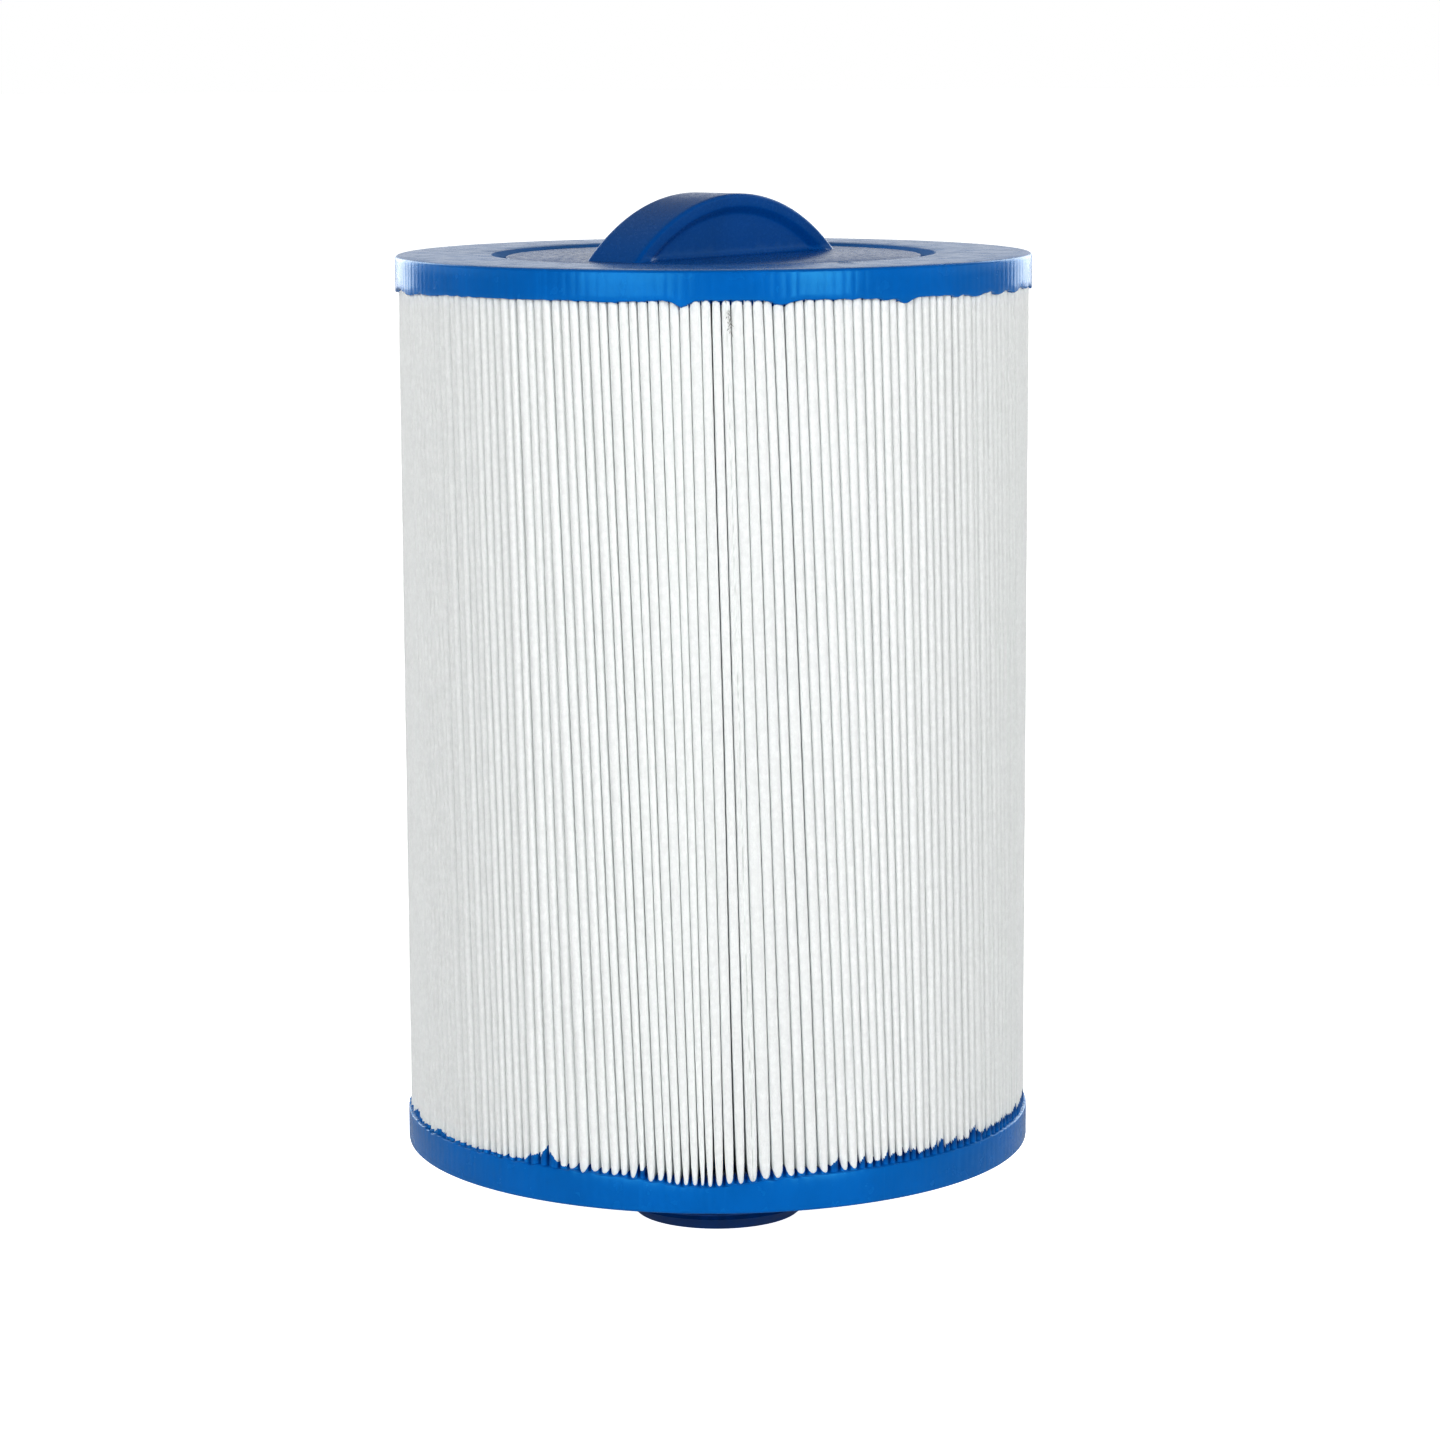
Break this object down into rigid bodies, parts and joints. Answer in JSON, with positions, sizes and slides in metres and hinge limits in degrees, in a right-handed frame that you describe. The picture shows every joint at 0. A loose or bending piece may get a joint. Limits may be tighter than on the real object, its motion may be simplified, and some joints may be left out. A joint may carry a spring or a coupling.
{
  "type": "pleated spa filter cartridge",
  "caption": "Round pleated filter cartridge with cast end caps, a half-moon lifting handle on top and a male threaded outlet below.",
  "frame": {"origin": "centre of the outlet's end face, the lowest face, on which the cartridge stands", "axes": "+Z along the cartridge's axis, from the threaded outlet up to the handle; -Y towards the media's seam; the handle's long axis lies 51.4 degrees from +X towards +Y"},
  "size_m": [0.15, 0.15, 0.2462],
  "materials": {
    "cast_resin": "satin",
    "handle_plastic": "satin",
    "media_fabric": "matte",
    "seam_glue": "satin",
    "core_plastic": "satin",
    "outlet_plastic": "satin"
  },
  "bodies": {
    "root": {"top_end_cap": "cast_resin", "bottom_end_cap": "cast_resin", "handle_insert": "handle_plastic", "pleated_media": "media_fabric", "seam_bead": "seam_glue", "centre_core": "core_plastic", "threaded_outlet": "outlet_plastic"}
  },
  "joints": []
}
